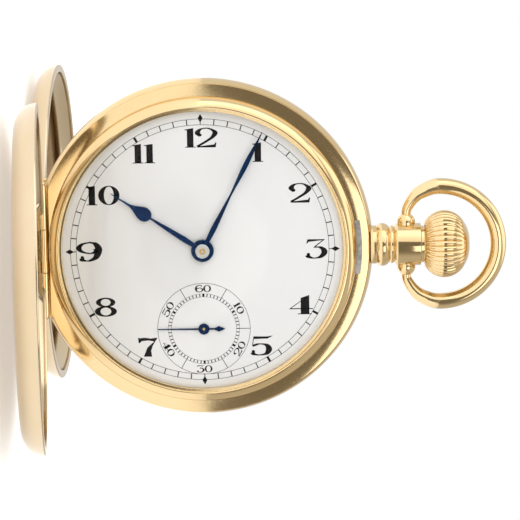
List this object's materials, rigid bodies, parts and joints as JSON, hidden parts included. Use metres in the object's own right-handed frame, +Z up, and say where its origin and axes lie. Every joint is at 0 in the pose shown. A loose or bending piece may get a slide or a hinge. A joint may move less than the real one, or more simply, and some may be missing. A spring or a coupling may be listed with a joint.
{
  "type": "hunter pocket watch",
  "caption": "Gold crown-wound hunter pocket watch with both covers open, white dial, small seconds, blued hands, onion crown and swinging bow.",
  "frame": {"origin": "on the surface the watch stands on, midway between the two opened covers and below the middle of the case", "axes": "+Z up through three o'clock to the crown and bow; the dial faces -Y; twelve o'clock is towards -X"},
  "size_m": [0.05, 0.0992, 0.0717],
  "materials": {
    "yellow_gold": "polished yellow gold",
    "pale_gold": "polished pale gold, finely worn",
    "hinge_steel": "polished",
    "watch_glass": "clear polished",
    "white_enamel": "gloss",
    "copper": "plain",
    "blued_steel": "heat-blued and polished",
    "polished_steel": "polished",
    "nickel": "fine striped nickel",
    "gilt_brass": "gilt",
    "ruby": "polished"
  },
  "bodies": {
    "case": {"case_middle": "yellow_gold", "pendant": "yellow_gold", "pendant_sleeve": "hinge_steel", "front_bezel": "yellow_gold", "crystal": "watch_glass", "front_hinge_knuckles": "yellow_gold", "back_hinge_knuckles": "yellow_gold", "front_hinge_pin": "hinge_steel", "back_hinge_pin": "hinge_steel", "inner_cover_knuckles": "yellow_gold", "inner_cover_pin": "hinge_steel", "catch_spring": "polished_steel", "lift_spring": "polished_steel", "dial": "white_enamel", "dial_base": "copper", "main_plate": "nickel", "barrel_bridge": "nickel", "train_bridge": "nickel", "balance_cock": "nickel", "regulator": "polished_steel", "plate_jewels": "ruby", "bridge_screws": "blued_steel", "crown_wheel_cap": "blued_steel", "click_spring": "blued_steel", "pallet_cock": "nickel"},
    "front_lid": {"front_cover": "pale_gold", "front_cover_leaf": "yellow_gold"},
    "back_lid": {"back_cover": "pale_gold", "back_cover_leaf": "yellow_gold"},
    "inner_lid": {"inner_cover": "pale_gold"},
    "bow_ring": {"bow": "yellow_gold"},
    "keyless": {"clutch_wheel": "polished_steel", "winding_pinion": "polished_steel"},
    "crown_and_stem": {"crown": "yellow_gold", "winding_stem": "polished_steel"},
    "crown_wheel_body": {"crown_wheel": "polished_steel"},
    "ratchet": {"ratchet_wheel": "polished_steel", "barrel_arbor": "polished_steel", "ratchet_screw": "blued_steel"},
    "barrel_drum": {"barrel": "gilt_brass", "barrel_lid": "gilt_brass", "mainspring": "polished_steel"},
    "click_body": {"click": "polished_steel"},
    "setting": {"setting_lever": "polished_steel"},
    "centre": {"centre_wheel": "gilt_brass", "cannon_pinion": "polished_steel", "hand_cap": "hinge_steel", "minute_hand": "blued_steel"},
    "motion": {"minute_wheel": "gilt_brass"},
    "hour": {"hour_wheel": "gilt_brass", "hour_hand": "blued_steel"},
    "third": {"third_wheel": "gilt_brass"},
    "seconds": {"fourth_wheel": "gilt_brass", "seconds_hand": "blued_steel"},
    "escape": {"escape_wheel": "polished_steel"},
    "lever_fork": {"pallet_fork": "polished_steel", "pallet_stones": "ruby"},
    "balance": {"balance_wheel": "gilt_brass", "balance_staff": "polished_steel", "hairspring": "blued_steel"}
  },
  "joints": [
    {"name": "front_cover_hinge", "type": "hinge", "parent": "case", "child": "front_lid", "pos_m": [0, -0.00205, 0.0039], "axis": [1, 0, 0], "range_deg": [-86, 0]},
    {"name": "back_cover_hinge", "type": "hinge", "parent": "case", "child": "back_lid", "pos_m": [0, 0.00195, 0.0039], "axis": [-1, 0, 0], "range_deg": [-88.9, 0]},
    {"name": "inner_cover_hinge", "type": "hinge", "parent": "case", "child": "inner_lid", "pos_m": [0, 0.00305, 0.0055], "axis": [-1, 0, 0], "range_deg": [0, 80]},
    {"name": "bow_swing", "type": "hinge", "parent": "case", "child": "bow_ring", "pos_m": [0, -0.00005, 0.057], "axis": [1, 0, 0], "range_deg": [-90, 90]},
    {"name": "crown_turn", "type": "hinge", "parent": "case", "child": "keyless", "pos_m": [0, -0.00005, 0.0387], "axis": [0, 0, 1], "continuous": true},
    {"name": "crown_pull", "type": "slide", "parent": "keyless", "child": "crown_and_stem", "axis": [0, 0, 1], "range_m": [-0.0005, 0.0008]},
    {"name": "crown_wheel_turn", "type": "hinge", "parent": "case", "child": "crown_wheel_body", "pos_m": [0, 0.00295, 0.0378], "axis": [0, 1, 0], "continuous": true},
    {"name": "ratchet_turn", "type": "hinge", "parent": "case", "child": "ratchet", "pos_m": [-0.00914, 0.00295, 0.03237], "axis": [0, 1, 0], "continuous": true},
    {"name": "setting_lever_swing", "type": "hinge", "parent": "case", "child": "setting", "pos_m": [-0.0032, -0.00155, 0.0445], "axis": [0, 1, 0], "range_deg": [-14.5, 9.1]},
    {"name": "click_swing", "type": "hinge", "parent": "case", "child": "click_body", "pos_m": [-0.0136, 0.00345, 0.0254], "axis": [0, 1, 0], "range_deg": [0, 8]},
    {"name": "seconds_turn", "type": "hinge", "parent": "case", "child": "seconds", "pos_m": [0.01172, -0.00005, 0.0271], "axis": [0, 1, 0], "continuous": true},
    {"name": "centre_turn", "type": "hinge", "parent": "case", "child": "centre", "pos_m": [0, -0.00005, 0.0271], "axis": [0, 1, 0], "continuous": true},
    {"name": "hour_turn", "type": "hinge", "parent": "case", "child": "hour", "pos_m": [0, -0.00225, 0.0271], "axis": [0, 1, 0], "continuous": true},
    {"name": "minute_wheel_turn", "type": "hinge", "parent": "case", "child": "motion", "pos_m": [-0.00156, -0.00205, 0.03138], "axis": [0, 1, 0], "continuous": true},
    {"name": "third_turn", "type": "hinge", "parent": "case", "child": "third", "pos_m": [0.00659, -0.00005, 0.03117], "axis": [0, 1, 0], "continuous": true},
    {"name": "escape_turn", "type": "hinge", "parent": "case", "child": "escape", "pos_m": [0.0088, -0.00005, 0.02203], "axis": [0, 1, 0], "continuous": true},
    {"name": "barrel_turn", "type": "hinge", "parent": "case", "child": "barrel_drum", "pos_m": [-0.00914, -0.00005, 0.03237], "axis": [0, 1, 0], "continuous": true},
    {"name": "fork_swing", "type": "hinge", "parent": "case", "child": "lever_fork", "pos_m": [0.00435, 0.00015, 0.01998], "axis": [0, 1, 0], "range_deg": [-4, 4]},
    {"name": "balance_swing", "type": "hinge", "parent": "case", "child": "balance", "pos_m": [-0.003, 0.00155, 0.0166], "axis": [0, 1, 0], "range_deg": [-270, 270], "stiffness_Nm_per_rad": 0.000003}
  ],
  "couplings": [
    {"joint": "crown_wheel_turn", "follows": "crown_turn", "ratio": -0.58333},
    {"joint": "ratchet_turn", "follows": "crown_turn", "ratio": 0.30172},
    {"joint": "setting_lever_swing", "follows": "crown_pull", "rad_per_m": -312.5},
    {"joint": "centre_turn", "follows": "seconds_turn", "ratio": 0.016667},
    {"joint": "hour_turn", "follows": "seconds_turn", "ratio": 0.0013889},
    {"joint": "minute_wheel_turn", "follows": "seconds_turn", "ratio": -0.0055556},
    {"joint": "third_turn", "follows": "seconds_turn", "ratio": -0.13333},
    {"joint": "escape_turn", "follows": "seconds_turn", "ratio": -7.5},
    {"joint": "barrel_turn", "follows": "seconds_turn", "ratio": -0.0023148}
  ]
}
